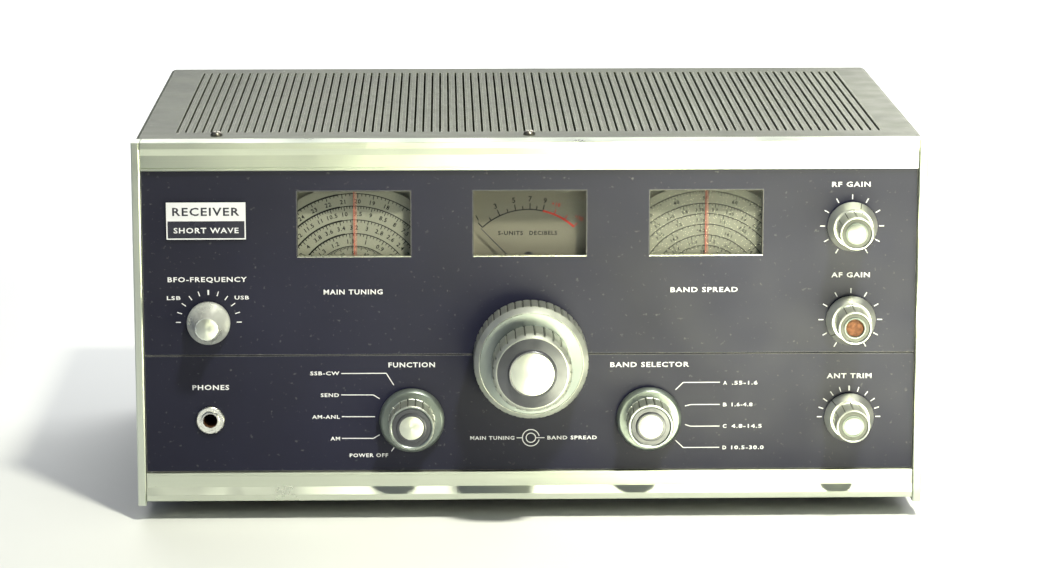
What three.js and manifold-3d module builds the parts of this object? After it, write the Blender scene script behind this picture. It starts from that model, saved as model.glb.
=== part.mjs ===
// Table-top shortwave communications receiver, built as separate pieces in millimetres, +Z up.
// X runs along the front and the front faces -Y. In the working frame y = 0 is the front face of the
// aluminium trim and z = 0 is the lower end of the side strips. The last lines move the origin to the
// centre of the bounding box, on the table.
import * as THREE from "three";
import { mergeVertices } from "three/addons/utils/BufferGeometryUtils.js";
import Module from "manifold-3d";

// ---- driving dimensions ------------------------------------------------------------------------
const WIDTH = 380; // over the side strips
const HEIGHT = 177.8; // of the side strips, without the feet
const DEPTH = 253.6; // trim face to the cover's back edge
const FOOT = 8; // how far the feet stand below the side strips
const NOSE = -41.5; // front of the inner tuning knob
const TAIL = 261; // rear end of the terminal screws
const GAP = 0.3; // left between pieces that touch in the real object
const SHEET = 1.5; // steel sheet of the chassis and the cabinet
const STRIP = 4; // seen width of a side strip
const FRAME_DEPTH = 12.8; // front to back size of the trim frame
const PANEL = { y: 2.9, thick: 1.7, foot: 16.3, split: 73.7, top: 163.9, slit: 0.25 };
const WALL_Y = 5; // folded front wall of the chassis, behind the panels
const WALL_BACK = WALL_Y + SHEET;
const DECK_Z = 62; // upper face of the chassis deck
const APRON_Y = 249; // back of the chassis
const IN_X = 183; // half width of the chassis
const WINDOW = { w: 54.6, h: 32.2, z: 137.8, x: [-84.4, -0.2, 84.4] };

// axes of the controls, as [x, z]
const COLUMN = 154.5; // the outer columns of controls, left and right
const TUNE = [0, 73.6];
const BFO = [-COLUMN, 90.2];
const RF = [COLUMN, 135.9];
const AF = [COLUMN, 90];
const TRIM = [COLUMN, 41.9];
const FUNCTION = [-57.3, 41.8];
const BAND = [57.4, 41.8];
const JACK = [-COLUMN, 41.9];
const DIALS = [["main", -84.5], ["spread", 84.5]];
const DIAL_Z = 104;
const DIAL_R = 52;

const SHAFT_R = 3; // 6 mm control shafts
const BORE_R = SHAFT_R + 0.3;
const BUSH_R = 4.6; // threaded bushings of the controls
const BUSH_HOLE = BUSH_R + 0.3;
const REAR_Y = DEPTH - 2.1; // rear panel, just inside the cover
const REAR_BACK = REAR_Y + SHEET;
const LOW_Z = 34; // height of the fuse and the grommet on the rear
const GROMMET = [-140, LOW_Z];
const FUSE = [-112, LOW_Z];
const TERMINALS = [["antenna_terminals", 138, 4], ["speaker_terminals", 0, 3]];
const TERMINAL_Z = 36;
const SCREW_X = [-150.5, 0];
const SCREW_Y = 22.5;

// ---- colours -----------------------------------------------------------------------------------
const SILVER = [0xc4cbb8, 1, 0.3];
const CHARCOAL = [0x3c3b42, 0.2, 0.55];
const COVER = [0x8c917b, 0.6, 0.5];
const STEEL = [0xa8aaa6, 0.9, 0.4];
const ALUMINIUM = [0xb7b9b5, 1, 0.35];
const KNOB = [0x3f4540, 0.3, 0.4];
const GLASS = [0xcfe0dc, 0, 0.05];
const RUBBER = [0x1d1d1d, 0, 0.85];
const WHITE = [0xe6e6e0, 0.1, 0.4];
const DIAL_FACE = [0xdcd9b8, 0, 0.5];
const BLACK = [0x16181c, 0, 0.4];
const BOARD = [0x8f8259, 0.1, 0.5];
const BROWN = [0x4a2f1c, 0, 0.5];
const IRON = [0x3b3a38, 0.5, 0.5];

// ---- solids ------------------------------------------------------------------------------------
const wasm = await Module();
wasm.setup();

// a three.js geometry as a closed solid that faces out
function solid(geometry) {
  const g = geometry.clone();
  g.deleteAttribute("normal");
  g.deleteAttribute("uv");
  const merged = mergeVertices(g, 1e-4);
  const vertProperties = new Float32Array(merged.attributes.position.array);
  const triVerts = new Uint32Array(merged.index.array);
  const make = () => new wasm.Manifold(new wasm.Mesh({ numProp: 3, vertProperties, triVerts }));
  const made = make();
  if (made.volume() > 0) return made;
  for (let i = 0; i < triVerts.length; i += 3) {
    const second = triVerts[i + 1];
    triVerts[i + 1] = triVerts[i + 2];
    triVerts[i + 2] = second;
  }
  return make();
}

const join = (...solids) => solids.reduce((a, b) => a.add(b));
const cut = (body, ...tools) => tools.reduce((a, b) => a.subtract(b), body);

function box(x0, x1, y0, y1, z0, z1) {
  const g = new THREE.BoxGeometry(x1 - x0, y1 - y0, z1 - z0);
  return solid(g.translate((x0 + x1) / 2, (y0 + y1) / 2, (z0 + z1) / 2));
}

// a turned body whose axis runs along Y through (x, z); points are [radius, y]
function turnY(points, [x, z], seg = 24) {
  const profile = points.map(([r, y]) => new THREE.Vector2(r, y));
  return solid(new THREE.LatheGeometry(profile, seg).translate(x, 0, z));
}
const rodY = (r, y0, y1, at, seg = 14) => turnY([[0, y0], [r, y0], [r, y1], [0, y1]], at, seg);

// a turned body that stands on Z at (x, y); points are [radius, z]
function turnZ(points, [x, y], seg = 14) {
  const profile = points.map(([r, z]) => new THREE.Vector2(r, z));
  return solid(new THREE.LatheGeometry(profile, seg).rotateX(Math.PI / 2).translate(x, y, 0));
}
const rodZ = (r, z0, z1, at, seg = 14) => turnZ([[0, z0], [r, z0], [r, z1], [0, z1]], at, seg);

const outline = (points) => new THREE.Shape(points.map(([a, b]) => new THREE.Vector2(a, b)));
const drawn = (points, depth) =>
  new THREE.ExtrudeGeometry(outline(points), { depth, bevelEnabled: false });

// an outline of [y, z] points drawn along X, of [x, z] points along Y, of [x, y] points along Z
function alongX(points, x0, x1) {
  const axes = [[0, 1, 0], [0, 0, 1], [1, 0, 0]].map((v) => new THREE.Vector3(...v));
  const turn = new THREE.Matrix4().makeBasis(...axes);
  return solid(drawn(points, x1 - x0).applyMatrix4(turn).translate(x0, 0, 0));
}
const alongY = (points, y0, y1) =>
  solid(drawn(points, y1 - y0).rotateX(Math.PI / 2).translate(0, y1, 0));
const alongZ = (points, z0, z1) => solid(drawn(points, z1 - z0).translate(0, 0, z0));

// a ribbed grip on Y: its outline steps between two radii
function grip(r, rib, ribs, y0, y1, [x, z]) {
  const points = [];
  for (let i = 0; i < 2 * ribs; i++) {
    const a = (Math.PI * i) / ribs;
    const q = i % 2 ? r - rib : r;
    points.push([x + q * Math.cos(a), z + q * Math.sin(a)]);
  }
  return alongY(points, y0, y1);
}

const group = new THREE.Group();
function piece(name, body, [color, metalness, roughness]) {
  const made = body.getMesh();
  const places = new Float32Array(made.numVert * 3);
  for (let i = 0; i < made.numVert; i++) {
    const from = i * made.numProp;
    places.set(made.vertProperties.subarray(from, from + 3), i * 3);
  }
  const g = new THREE.BufferGeometry();
  g.setAttribute("position", new THREE.BufferAttribute(places, 3));
  g.setIndex(new THREE.BufferAttribute(new Uint32Array(made.triVerts), 1));
  const mesh = new THREE.Mesh(g, new THREE.MeshStandardMaterial({ color, metalness, roughness }));
  mesh.name = name;
  group.add(mesh);
}

// ---- front frame: two side strips, a top and a bottom extrusion ----------------------------------
function frontFrame() {
  const ease = 0.6; // eased front edges of a side strip
  for (const [name, s] of [["left_side_trim", -1], ["right_side_trim", 1]]) {
    const outer = (WIDTH / 2) * s;
    const inner = (WIDTH / 2 - STRIP) * s;
    const section = [
      [outer - ease * s, 0], [inner + ease * s, 0], [inner, ease],
      [inner, FRAME_DEPTH], [outer, FRAME_DEPTH], [outer, ease],
    ];
    piece(name, alongZ(section, 0, HEIGHT), SILVER);
  }
  // section of the top extrusion as [y, distance from its outer edge]: lip, slope, sunk flat and
  // bead on the front, then the inside of the sheet; the bottom one is its mirror image
  const section = [
    [0.3, 0], [0, 0.3], [0, 3], [2, 6.4], [2, 12.2], [1.1, 12.6], [1.1, 13.6], [1.6, 13.9],
    [2.6, 13.9], [3.4, 12.6], [3.4, 5.9], [1.6, 2.6], [1.6, 1.6], [FRAME_DEPTH, 1.6],
    [FRAME_DEPTH, 0],
  ];
  const half = WIDTH / 2 - STRIP - GAP;
  const low = 2.2; // the side strips reach this far below the bottom extrusion
  piece("top_trim", alongX(section.map(([y, d]) => [y, HEIGHT - d]), -half, half), SILVER);
  piece("bottom_trim", alongX(section.map(([y, d]) => [y, low + d]), -half, half), SILVER);
}

// ---- front panels, badge and the clear strip behind the windows ----------------------------------
function panels() {
  const half = WIDTH / 2 - STRIP - GAP;
  const y0 = PANEL.y;
  const y1 = PANEL.y + PANEL.thick;
  const hole = (r, at) => rodY(r, y0 - 1, y1 + 1, at);
  const holes = (...list) => list.map((at) => hole(BUSH_HOLE, at));
  const windows = WINDOW.x.map((c) =>
    box(c - WINDOW.w / 2, c + WINDOW.w / 2, y0 - 1, y1 + 1,
      WINDOW.z - WINDOW.h / 2, WINDOW.z + WINDOW.h / 2));
  const tuning = hole(7.5, TUNE); // half of it in each panel
  const upper = box(-half, half, y0, y1, PANEL.split + PANEL.slit, PANEL.top);
  piece("upper_front_panel", cut(upper, tuning, ...windows, ...holes(BFO, RF, AF)), CHARCOAL);
  const lower = box(-half, half, y0, y1, PANEL.foot, PANEL.split - PANEL.slit);
  piece("lower_front_panel", cut(lower, tuning, ...holes(FUNCTION, BAND, TRIM, JACK)), CHARCOAL);
  piece("badge_plate", box(-173.9, -136, y0 - 1.1, y0 - GAP, 130.8, 148.8), WHITE);
  piece("dial_glass", box(-122, 122, WALL_BACK + GAP, WALL_BACK + 1.8, 117, 158.6), GLASS);
}

// ---- chassis: deck, folded front wall, side skirts and rear apron --------------------------------
function chassis() {
  const skirt = 10; // lower edge of the skirts
  const body = join(
    box(-IN_X, IN_X, WALL_Y, WALL_BACK, skirt, 162),
    box(-IN_X, IN_X, WALL_Y, APRON_Y, DECK_Z - SHEET, DECK_Z),
    box(-IN_X, -IN_X + SHEET, WALL_Y, APRON_Y, skirt, DECK_Z),
    box(IN_X - SHEET, IN_X, WALL_Y, APRON_Y, skirt, DECK_Z),
    box(-IN_X, IN_X, APRON_Y - SHEET, APRON_Y, skirt, DECK_Z),
  );
  const inWall = (r, at) => rodY(r, WALL_Y - 1, WALL_BACK + 1, at);
  const w = WINDOW.w / 2 + 1;
  const h = WINDOW.h / 2 + 1;
  const tools = [
    ...WINDOW.x.map((c) =>
      box(c - w, c + w, WALL_Y - 1, WALL_BACK + 1, WINDOW.z - h, WINDOW.z + h)),
    ...[BFO, RF, AF, TRIM, FUNCTION, BAND, JACK].map((at) => inWall(BUSH_HOLE, at)),
    inWall(6.5, TUNE),
    ...[GROMMET, FUSE].map((at) => rodY(8.6, APRON_Y - 9, APRON_Y + 6, at)),
    ...TERMINALS.map(([, c]) => box(c - 30, c + 30, APRON_Y - 9, APRON_Y + 6, 28, 44)),
  ];
  for (const [, x] of DIALS) {
    tools.push(box(x - 33, x + 33, 9, 13, DECK_Z - 3, DECK_Z + 1)); // the dials dip into the deck
    tools.push(inWall(3.6, [x, DIAL_Z]));
  }
  piece("chassis", cut(body, ...tools), STEEL);
}

// ---- cabinet: vented cover, its screws, base plate and feet --------------------------------------
function cover() {
  const x = WIDTH / 2 - 0.4;
  const top = HEIGHT;
  const foot = 3.2;
  // U section with its two upper corners eased, outside first and then inside
  const half = [[x - 2.5, top], [x - 0.8, top - 0.8], [x, top - 2.5], [x, foot]];
  const inner = [
    [x - SHEET, foot], [x - SHEET, top - 2.8], [x - 2.2, top - SHEET - 0.1], [x - 3, top - SHEET],
  ];
  const mirror = (points) => points.map(([a, b]) => [-a, b]).reverse();
  const section = [...mirror(half), ...half, ...inner, ...mirror(inner)];
  const vents = { pitch: 4.1, count: 84, width: 1.1, y0: 32, y1: 238 };
  const tools = SCREW_X.map((c) => rodZ(1.9, top - 4, top + 1, [c, SCREW_Y]));
  for (let i = 0; i < vents.count; i++) {
    const c = (i - (vents.count - 1) / 2) * vents.pitch;
    tools.push(
      box(c - vents.width / 2, c + vents.width / 2, vents.y0, vents.y1, top - 4, top + 1));
  }
  piece("top_cover", cut(alongY(section, FRAME_DEPTH + GAP, DEPTH), ...tools), COVER);
  // round-headed screws with a cross slot
  ["cover_screw_left", "cover_screw_centre"].forEach((name, i) => {
    const at = [SCREW_X[i], SCREW_Y];
    const seat = top + GAP;
    const head = [[1.6, seat], [2.9, seat], [2.7, top + 1.3], [1.7, top + 2.1], [0, top + 2.4]];
    const screw = turnZ([[0, top - 7], [1.6, top - 7], ...head], at, 12);
    const slot = (a, b) =>
      box(at[0] - a, at[0] + a, at[1] - b, at[1] + b, top + 1.4, top + 4);
    piece(name, cut(screw, slot(2.1, 0.35), slot(0.35, 2.1)), STEEL);
  });
}

function base() {
  const z0 = 1.2;
  const z1 = z0 + SHEET;
  const slots = [];
  for (let i = 0; i < 7; i++) {
    const c = (i - 3) * 30;
    for (const y of [70, 150]) slots.push(box(c - 4, c + 4, y, y + 40, z0 - 1, z1 + 1));
  }
  piece("bottom_plate", cut(box(-IN_X, IN_X, FRAME_DEPTH + 1, 250.5, z0, z1), ...slots), COVER);
  // a turned rubber foot with a recess for its screw
  const top = z0 - GAP;
  const foot = [
    [0, -5.6], [3.2, -5.6], [3.2, -FOOT], [8.2, -FOOT], [9, -FOOT + 1], [10, top], [0, top],
  ];
  for (const [row, y] of [["front", 46], ["rear", 226]])
    for (const [side, x] of [["left", -150], ["right", 150]])
      piece(`foot_${row}_${side}`, turnZ(foot, [x, y]), RUBBER);
}

// ---- rear: panel, terminal strips, fuse holder, mains grommet ------------------------------------
function rear() {
  const x = WIDTH / 2 - 2.5;
  const tools = [
    rodY(6.3, REAR_Y - 1, REAR_BACK + 1, GROMMET),
    rodY(7.3, REAR_Y - 1, REAR_BACK + 1, FUSE),
    ...TERMINALS.map(([, c]) => box(c - 28, c + 28, REAR_Y - 1, REAR_BACK + 1, 30, 42)),
  ];
  for (let i = 0; i < 18; i++) {
    const c = (i - 8.5) * 16;
    tools.push(box(c - 3, c + 3, REAR_Y - 1, REAR_BACK + 1, 82, 134));
  }
  const panel = box(-x, x, REAR_Y, REAR_BACK, 4, HEIGHT - SHEET - 0.5);
  piece("rear_panel", cut(panel, ...tools), COVER);

  const seat = REAR_BACK + GAP;
  for (const [name, c, screws] of TERMINALS) {
    let strip = box(c - 33, c + 33, seat, seat + 3, TERMINAL_Z - 10, TERMINAL_Z + 10);
    for (let i = 0; i < screws; i++) {
      const sx = c + (i - (screws - 1) / 2) * 14;
      const head = turnY(
        [[0, seat + 2], [3.6, seat + 2], [3.6, TAIL - 1.6], [2.6, TAIL], [0, TAIL]],
        [sx, TERMINAL_Z], 8);
      const slot = box(sx - 3, sx + 3, TAIL - 1.2, TAIL + 1, TERMINAL_Z - 0.5, TERMINAL_Z + 0.5);
      const lug = box(sx - 2.5, sx + 2.5, 244, seat + 1, TERMINAL_Z - 1.2, TERMINAL_Z + 1.2);
      strip = join(strip, cut(head, slot), lug);
    }
    piece(name, strip, BROWN);
  }

  const hole = 3.6; // for the mains lead
  const ring = [
    [hole, REAR_Y - 2], [7.6, REAR_Y - 2], [7.6, REAR_Y - GAP], [6, REAR_Y - GAP], [6, seat],
    [8.4, seat], [7.4, seat + 2.7], [hole, seat + 2.7], [hole, REAR_Y - 2],
  ];
  piece("mains_grommet", turnY(ring, GROMMET, 14), RUBBER);

  const cap = TAIL - 0.6;
  const holder = [
    [0, 226], [6, 226], [7, 228], [7, seat], [8.6, seat], [8.6, seat + 2.7], [6, seat + 3.7],
    [5.4, cap], [0, cap],
  ];
  const slot = box(FUSE[0] - 4, FUSE[0] + 4, cap - 1, cap + 1, LOW_Z - 0.6, LOW_Z + 0.6);
  piece("fuse_holder", cut(turnY(holder, FUSE, 14), slot), BLACK);
}

// ---- tuning: two concentric knobs on concentric shafts -------------------------------------------
function tuningKnobs() {
  const mid = -18.4; // front of the outer knob
  const outer = join(
    grip(27.5, 0.9, 28, -15.6, 0.9, TUNE),
    turnY([[0, -15], [27, -15], [27, -15.6], [25, mid], [0, mid]], TUNE, 28),
  );
  piece("main_tuning_knob", cut(outer, rodY(5.3, -30, 10, TUNE)), KNOB);
  // hollow shaft with a cord drum behind the front wall
  const sleeve = [
    [BORE_R, mid], [5, mid], [5, 12], [9, 12], [9, 14], [7.4, 15], [7.4, 17], [9, 18], [9, 20],
    [BORE_R, 20], [BORE_R, mid],
  ];
  piece("main_tuning_sleeve", turnY(sleeve, TUNE, 16), STEEL);

  const face = [
    [0, -36.5], [18.2, -36.5], [18.2, -37], [17, -39], [11.4, -39.6], [11.2, NOSE], [8, NOSE],
    [6.5, NOSE + 0.8], [0, NOSE + 0.8],
  ];
  const inner = join(grip(19, 0.8, 20, -37, mid - 0.5, TUNE), turnY(face, TUNE, 20));
  piece("band_spread_knob", cut(inner, rodY(3.2, -33, -10, TUNE)), KNOB);
  const shaft = [
    [0, -32.6], [2.9, -32.6], [2.9, 24], [8, 24], [8, 26], [6.4, 27], [6.4, 29], [8, 30],
    [8, 32], [0, 32],
  ];
  piece("band_spread_shaft", turnY(shaft, TUNE, 16), STEEL);
}

// ---- dials: each disc turns with the vanes of its variable capacitor -----------------------------
function dials() {
  const y0 = 36; // front and back of a capacitor's frame
  const y1 = 76;
  const half = 19;
  for (const [key, x] of DIALS) {
    const at = [x, DIAL_Z];
    const disc = [[BORE_R, 10], [DIAL_R, 10], [DIAL_R, 11.2], [BORE_R, 11.2], [BORE_R, 10]];
    piece(`${key}_dial_disc`, turnY(disc, at, 40), DIAL_FACE);
    // shaft, cord drum and half-round vanes
    const drum = [[0, 14], [22, 14], [22, 15], [20, 16], [20, 18], [22, 19], [22, 20], [0, 20]];
    let rotor = join(rodY(SHAFT_R, 8.5, y1 + 2, at), turnY(drum, at, 16));
    // frame with fixed vanes below the shaft
    const low = DECK_Z + GAP;
    let frame = join(
      box(x - half, x + half, y0, y1, low, low + 2),
      box(x - half, x + half, y0, y0 + 1.6, low, DIAL_Z + 20),
      box(x - half, x + half, y1 - 1.6, y1, low, DIAL_Z + 20),
      box(x - half, x - half + 2, y0, y1, DIAL_Z - 18, DIAL_Z - 10),
      box(x + half - 2, x + half, y0, y1, DIAL_Z - 18, DIAL_Z - 10),
    );
    for (let i = 0; i < 3; i++) {
      const y = y0 + 6 + i * 12;
      const upper = box(x - half, x + half, y - 1, y + 2, DIAL_Z, DIAL_Z + 30);
      rotor = join(rotor, rodY(16, y, y + 1, at, 16).intersect(upper));
      const fixed = y + 6;
      const vane = box(x - half + 1, x + half - 1, fixed, fixed + 1, DIAL_Z - 18, DIAL_Z - 4.5);
      frame = join(frame, vane);
    }
    piece(`${key}_capacitor_rotor`, rotor, ALUMINIUM);
    piece(`${key}_capacitor_frame`, cut(frame, rodY(3.4, y0 - 2, y1 + 2, at)), STEEL);
  }
}

// ---- signal meter: open-fronted case and a needle ------------------------------------------------
function meter() {
  const pivot = [-0.7, 110.4];
  const y0 = WALL_BACK + 2.1;
  const face = y0 + 4.6; // the printed scale
  const well = box(-27.8, 27.8, y0 - 1, face, 104.6, 156.9);
  const pin = rodY(1, face - 0.6, face + 0.3, pivot, 12);
  piece("meter_case", join(cut(box(-29.5, 29.5, y0, 34, 103, 158.5), well), pin), WHITE);
  // the needle rests on its left stop
  const rest = (44 * Math.PI) / 180;
  const length = 38;
  const tail = 5; // the part of the blade behind the pivot
  const blade = new THREE.BoxGeometry(0.8, 0.7, length).translate(0, y0 + 1.9, length / 2 - tail);
  blade.rotateY(-rest).translate(pivot[0], 0, pivot[1]);
  piece("meter_needle", join(solid(blade), rodY(2.6, y0 + 1, y0 + 3, pivot, 20)), BLACK);
}

// ---- the six smaller knobs, each with its shaft --------------------------------------------------
const KNOB_SEAT = PANEL.y - 1.4; // back of every knob
const withShaft = (knob, at, end) => join(knob, rodY(SHAFT_R, -1, end, at, 12));

function smallKnobs() {
  // polished cone with a small ring at its foot
  const cone = [
    [0, KNOB_SEAT], [10.4, KNOB_SEAT], [10.4, -0.6], [9.3, -1.4], [7.6, -4.4], [6.4, -8.4],
    [5.8, -13], [5.5, -14.4], [0, -14.4],
  ];
  piece("bfo_knob", withShaft(turnY(cone, BFO, 20), BFO, 16), SILVER);
  // three skirted knobs; the AF gain knob has lost its metal inlay
  const skirt = [[0, KNOB_SEAT], [12, KNOB_SEAT], [12, 0.4], [9.4, -3.6], [0, -3.6]];
  for (const [name, at, inlay] of [
    ["rf_gain_knob", RF, true],
    ["af_gain_knob", AF, false],
    ["antenna_trim_knob", TRIM, true],
  ]) {
    const body = join(turnY(skirt, at, 20), grip(8.2, 0.6, 12, -18, -3, at));
    const dished = cut(body, rodY(6.9, -20, -17.2, at));
    const centre = inlay
      ? join(dished, rodY(4.8, -18.2, -16, at))
      : cut(dished, rodY(4.8, -20, -16.2, at));
    piece(name, withShaft(centre, at, 16), SILVER);
  }
  // two larger pointer knobs; their shafts run through the switches
  const plate = [[0, KNOB_SEAT], [15.7, KNOB_SEAT], [15.7, -0.6], [14.4, -2.2], [0, -2.2]];
  for (const [name, at, end] of [
    ["function_knob", FUNCTION, 38],
    ["band_selector_knob", BAND, 152],
  ]) {
    const body = join(turnY(plate, at), grip(11, 0.7, 15, -15.8, -1.6, at));
    const dished = cut(body, rodY(9.3, -18, -15, at));
    piece(name, withShaft(join(dished, rodY(6, -16.2, -14, at)), at, end), KNOB);
  }
}

// ---- behind the panels: what each knob works -----------------------------------------------------
// a potentiometer or small variable capacitor: bushing, round case and three lugs
function control(name, at, r, depth, look) {
  const front = WALL_BACK + GAP;
  const back = WALL_BACK + depth;
  const start = PANEL.y + 0.4;
  const section = [
    [BORE_R, start], [BUSH_R, start], [BUSH_R, front], [r, front], [r, back], [0, back],
    [0, back - 3], [BORE_R, back - 3], [BORE_R, start],
  ];
  const lugs = [-5, 0, 5].map((dx) =>
    box(at[0] + dx - 1, at[0] + dx + 1, 12, 13, at[1] - r - 5, at[1] - r + 3));
  piece(name, join(turnY(section, at, 14), ...lugs), look);
}

// a rotary switch: bushing, detent plate, two side bars and a row of contact wafers
function rotarySwitch(name, at, wafers) {
  const front = WALL_BACK + GAP;
  const end = wafers[wafers.length - 1] + 4;
  const bar = (c) => box(at[0] + c - 1.2, at[0] + c + 1.2, front + 2, end, at[1] - 2, at[1] + 2);
  const body = join(
    rodY(BUSH_R, PANEL.y + 0.4, front + 1, at),
    rodY(8.6, front, front + 5, at),
    bar(-7),
    bar(7),
    ...wafers.map((y) => rodY(15, y, y + 2, at, 16)),
  );
  piece(name, cut(body, rodY(BORE_R, 0, end + 1, at, 12)), BOARD);
}

function controls() {
  control("bfo_capacitor", BFO, 11, 18, ALUMINIUM);
  control("rf_gain_potentiometer", RF, 12, 15, STEEL);
  control("af_gain_potentiometer", AF, 12, 24, STEEL);
  control("antenna_trim_capacitor", TRIM, 11, 18, ALUMINIUM);
  rotarySwitch("function_switch", FUNCTION, [18, 30]);
  rotarySwitch("band_switch", BAND, [18, 82, 146]);
  // headphone jack: nut and threaded sleeve in front, insulated body behind
  const bore = 3.25; // takes a 6.35 mm plug
  const jack = [
    [bore, 0.6], [6.9, 0.6], [6.9, PANEL.y - GAP], [BUSH_R, PANEL.y - GAP], [BUSH_R, 7.4],
    [8.5, 7.4], [8.5, 27], [0, 27], [0, 25], [bore, 25], [bore, 0.6],
  ];
  piece("phones_jack", turnY(jack, JACK, 16), STEEL);
}

// ---- on the deck: transformers, valves and screening cans ----------------------------------------
function deck() {
  const z0 = DECK_Z + GAP;
  const core = box(106, 172, 168, 232, z0 + 14, z0 + 40);
  piece("power_transformer", join(core, box(114, 164, 174, 226, z0, z0 + 62)), IRON);
  const output = join(
    box(-30, 14, 190, 222, z0, z0 + SHEET),
    box(-26, 10, 192, 220, z0, z0 + 30),
    box(-19, 3, 186, 226, z0 + 5, z0 + 25),
  );
  piece("output_transformer", output, IRON);
  const can = [[0, 0], [17.5, 0], [17.5, 70], [16, 72], [14, 71], [0, 71]];
  piece("smoothing_can", turnZ(can.map(([r, z]) => [r, z0 + z]), [78, 205], 20), ALUMINIUM);
  const valves = [[-152, 70], [-150, 120], [-105, 110], [-60, 110], [-105, 205], [-62, 205]];
  valves.forEach((at, i) => {
    const h = i < 4 ? 46 : 58; // the last two are the larger output and rectifier valves
    const bulb = [
      [0, 0], [11, 0], [11, 7], [9.2, 8], [9.2, h - 6], [6.5, h - 1], [1.8, h], [1.2, h + 4],
      [0, h + 4.6],
    ];
    piece(`valve_${i + 1}`, turnZ(bulb.map(([r, z]) => [r, z0 + z]), at, 12), GLASS);
  });
  [[-150, 165], [-105, 157], [-60, 157]].forEach(([x, y], i) => {
    const body = box(x - 9.5, x + 9.5, y - 9.5, y + 9.5, z0, z0 + 46);
    piece(`if_can_${i + 1}`, join(body, rodZ(3, z0 + 45, z0 + 47.5, [x, y])), ALUMINIUM);
  });
}

frontFrame();
panels();
chassis();
cover();
base();
rear();
tuningKnobs();
dials();
meter();
smallKnobs();
controls();
deck();

// origin: centre of the bounding box in X and Y, on the table in Z
group.position.set(0, -(NOSE + TAIL) / 2, FOOT);
export default group;
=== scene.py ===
import math

import bmesh
import bpy
from mathutils import Matrix, Vector


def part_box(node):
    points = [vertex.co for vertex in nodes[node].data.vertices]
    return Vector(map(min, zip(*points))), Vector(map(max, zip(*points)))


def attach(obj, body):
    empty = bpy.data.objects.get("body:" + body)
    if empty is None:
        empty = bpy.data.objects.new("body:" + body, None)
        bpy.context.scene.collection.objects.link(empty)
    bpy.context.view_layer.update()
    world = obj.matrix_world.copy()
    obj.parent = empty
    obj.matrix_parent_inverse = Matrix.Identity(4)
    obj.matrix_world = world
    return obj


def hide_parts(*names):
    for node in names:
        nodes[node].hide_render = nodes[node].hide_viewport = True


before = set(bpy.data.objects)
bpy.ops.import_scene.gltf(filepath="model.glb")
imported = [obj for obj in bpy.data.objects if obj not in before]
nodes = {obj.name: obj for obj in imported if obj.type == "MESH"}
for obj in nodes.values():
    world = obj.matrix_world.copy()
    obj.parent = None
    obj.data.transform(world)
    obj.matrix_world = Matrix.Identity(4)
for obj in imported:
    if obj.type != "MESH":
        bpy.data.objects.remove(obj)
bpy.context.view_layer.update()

scene = bpy.context.scene


# ---- camera ------------------------------------------------------------------------------------
# A long lens an arm's length and a half in front of the receiver, a little above its cabinet and
# a little left of its middle.
MM = 0.001
trim_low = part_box("left_side_trim")[0]


def at(x, y, z):
    """A point in millimetres: right of the middle, behind the trim's face, above its lower end."""
    return Vector((x * MM, trim_low.y + y * MM, trim_low.z + z * MM))


front_lens = bpy.data.cameras.new("front_lens")
front_lens.lens = 121.6
front_lens.sensor_width = 36
front_lens.clip_end = 60
camera = bpy.data.objects.new("camera", front_lens)
look_down = Matrix.Rotation(math.radians(90 - 11.37), 4, "X")
look_right = Matrix.Rotation(math.radians(-1.34), 4, "Z")
camera.matrix_world = Matrix.Translation(at(-41.2, -1670.5, 444.8)) @ look_right @ look_down
scene.collection.objects.link(camera)
scene.camera = camera


# ---- studio ------------------------------------------------------------------------------------
# A white paper floor in a dim room. A broad box overhead lights it and the cabinet's top, and a key
# lamp high in front on the right casts the shadows. A low box on the right and a weak cool one on
# the left fill the front. A card behind and a glow at floor level show mostly as sheen.
scene.view_settings.view_transform = "Standard"
room = bpy.data.worlds.new("dim_room")
room.use_nodes = True
room.node_tree.nodes["Background"].inputs["Color"].default_value = (0.80, 0.88, 1.0, 1)
room.node_tree.nodes["Background"].inputs["Strength"].default_value = 0.17
scene.world = room

FLOOR_REACH = 9.0
paper = bmesh.new()
bmesh.ops.create_circle(paper, cap_ends=True, radius=FLOOR_REACH, segments=96)
paper_mesh = bpy.data.meshes.new("paper_floor")
paper.to_mesh(paper_mesh)
paper.free()
floor = bpy.data.objects.new("paper_floor", paper_mesh)
scene.collection.objects.link(floor)


def soft_box(name, place, aim, size, watts, colour):
    """A square area light at place, turned towards aim, both in millimetres."""
    light = bpy.data.lights.new(name, "AREA")
    light.shape = "RECTANGLE"
    light.size, light.size_y = size
    light.energy = watts
    light.color = colour
    made = bpy.data.objects.new(name, light)
    made.location = at(*place)
    made.rotation_euler = (at(*aim) - at(*place)).to_track_quat("-Z", "Y").to_euler()
    scene.collection.objects.link(made)


soft_box("overhead", (250, 1700, 1500), (200, 1450, 0), (2.4, 1.8), 78, (1, 1, 0.97))
soft_box("back_card", (560, 1500, 420), (150, 150, 170), (0.5, 0.3), 2, (1, 1, 0.85))
soft_box("low_key", (950, -1050, 420), (60, 0, 90), (0.7, 0.8), 6, (1, 0.98, 0.76))
soft_box("cool_fill", (-1500, -900, 900), (0, 0, 90), (1.2, 1.2), 2.5, (0.7, 0.82, 1))
beam = bpy.data.lights.new("key_beam", "SPOT")
beam.energy = 260
beam.color = (1, 0.99, 0.82)
beam.spot_size = math.radians(50)
beam.spot_blend = 1
beam.shadow_soft_size = 0.09
key = bpy.data.objects.new("key_beam", beam)
key.location = at(430, -900, 1650)
key.rotation_euler = (at(330, -100, 0) - at(430, -900, 1650)).to_track_quat("-Z", "Y").to_euler()
scene.collection.objects.link(key)
soft_box("table_glow", (345, -500, 3), (345, -500, 900), (0.6, 0.84), 30, (1, 1, 0.66))
table_glow = scene.objects["table_glow"]
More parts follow.
